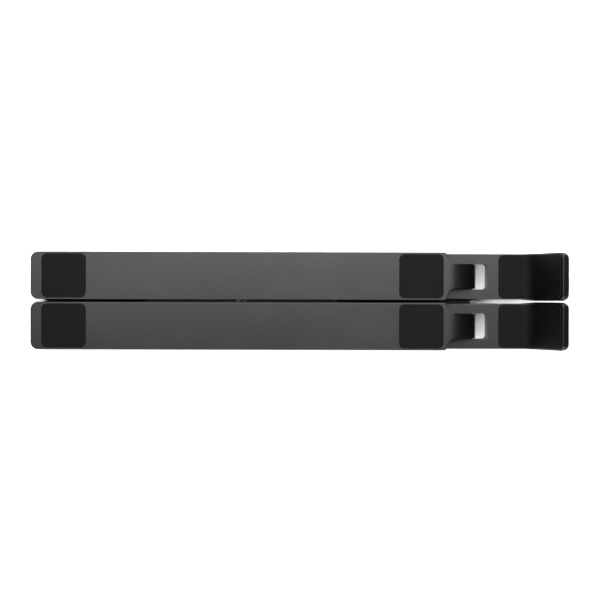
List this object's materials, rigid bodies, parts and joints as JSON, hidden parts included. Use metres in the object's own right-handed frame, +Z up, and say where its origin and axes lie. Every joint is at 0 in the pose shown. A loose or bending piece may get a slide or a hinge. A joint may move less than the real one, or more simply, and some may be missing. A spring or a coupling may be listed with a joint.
{
  "type": "laptop stand",
  "caption": "Folding aluminium laptop stand: two slim bars with padded hooks, crossed links between them and strut-held tilting arms.",
  "frame": {"origin": "centre of the folded stand's footprint, on the surface it stands on", "axes": "+Z up, +X towards the hooks, +Y towards the right-hand bar as the user sits in front of the hooks"},
  "size_m": [0.2503, 0.046, 0.0328],
  "materials": {
    "bar_finish": "satin space-grey anodised",
    "arm_finish": "satin space-grey anodised",
    "link_finish": "satin space-grey anodised",
    "strut_finish": "satin space-grey anodised",
    "inner_metal": "bead-blasted dark anodised",
    "steel": "turned and blackened at the rim",
    "silicone": "matte black silicone",
    "foot_rubber": "matte black rubber",
    "washer_plastic": "black acetal"
  },
  "bodies": {
    "right_base": {"right_base_bar": "bar_finish", "right_hinge_block": "inner_metal", "right_block_screw": "steel", "right_hinge_pin": "steel", "right_hook_pad": "silicone", "right_rear_foot": "foot_rubber", "right_front_foot": "foot_rubber", "right_rack": "inner_metal", "right_rack_rivets": "steel", "right_link_pin": "steel", "right_link_spacer": "washer_plastic"},
    "right_arm": {"right_top_arm": "arm_finish", "right_rear_pad": "silicone", "right_front_pad": "silicone", "right_strut_pin": "steel", "right_strut_washers": "washer_plastic"},
    "right_strut": {"right_strut": "strut_finish", "right_strut_rod": "steel"},
    "right_slider": {"right_slider_shoe": "washer_plastic", "right_slider_pin": "steel"},
    "left_base": {"left_base_bar": "bar_finish", "left_hinge_block": "inner_metal", "left_block_screw": "steel", "left_hinge_pin": "steel", "left_hook_pad": "silicone", "left_rear_foot": "foot_rubber", "left_front_foot": "foot_rubber", "left_rack": "inner_metal", "left_rack_rivets": "steel", "left_link_pin": "steel", "left_link_spacer": "washer_plastic"},
    "left_arm": {"left_top_arm": "arm_finish", "left_rear_pad": "silicone", "left_front_pad": "silicone", "left_strut_pin": "steel", "left_strut_washers": "washer_plastic"},
    "left_strut": {"left_strut": "strut_finish", "left_strut_rod": "steel"},
    "left_slider": {"left_slider_shoe": "washer_plastic", "left_slider_pin": "steel"},
    "lower_link": {"lower_cross_link": "link_finish", "centre_rivet": "steel", "centre_washer": "washer_plastic"},
    "upper_link": {"upper_cross_link": "link_finish"}
  },
  "joints": [
    {"name": "spread", "type": "hinge", "parent": "right_base", "child": "lower_link", "pos_m": [-0.112, 0.0118, 0.0047], "axis": [0, 0, -1], "range_deg": [0, 60.11]},
    {"name": "link_crossing", "type": "hinge", "parent": "lower_link", "child": "upper_link", "pos_m": [-0.02681, 0, 0.006], "axis": [0, 0, -1], "range_deg": [-120.73, 0]},
    {"name": "left_bar_pivot", "type": "hinge", "parent": "upper_link", "child": "left_base", "pos_m": [-0.112, -0.0118, 0.007], "axis": [0, 0, -1], "range_deg": [0, 60.61]},
    {"name": "left_slider_pivot", "type": "hinge", "parent": "lower_link", "child": "left_slider", "pos_m": [0.05837, -0.0118, 0.0047], "axis": [0, 0, -1], "range_deg": [-60.61, 0]},
    {"name": "right_slider_pivot", "type": "hinge", "parent": "upper_link", "child": "right_slider", "pos_m": [0.05837, 0.0118, 0.007], "axis": [0, 0, -1], "range_deg": [0, 60.61]},
    {"name": "right_arm_hinge", "type": "hinge", "parent": "right_base", "child": "right_arm", "pos_m": [0.08216, 0.0118, 0.007], "axis": [0, 1, 0], "range_deg": [0, 35]},
    {"name": "right_strut_hinge", "type": "hinge", "parent": "right_arm", "child": "right_strut", "pos_m": [-0.011, 0.0118, 0.016], "axis": [0, 1, 0], "range_deg": [-70.5, 0]},
    {"name": "left_arm_hinge", "type": "hinge", "parent": "left_base", "child": "left_arm", "pos_m": [0.08216, -0.0118, 0.007], "axis": [0, 1, 0], "range_deg": [0, 35]},
    {"name": "left_strut_hinge", "type": "hinge", "parent": "left_arm", "child": "left_strut", "pos_m": [-0.011, -0.0118, 0.016], "axis": [0, 1, 0], "range_deg": [-70.5, 0]}
  ],
  "couplings": [
    {"joint": "link_crossing", "follows": "spread", "ratio": -2},
    {"joint": "left_bar_pivot", "follows": "spread", "ratio": 1},
    {"joint": "left_slider_pivot", "follows": "spread", "ratio": -1},
    {"joint": "right_slider_pivot", "follows": "spread", "ratio": 1},
    {"joint": "right_strut_hinge", "follows": "right_arm_hinge", "ratio": -2},
    {"joint": "left_strut_hinge", "follows": "left_arm_hinge", "ratio": -2}
  ]
}
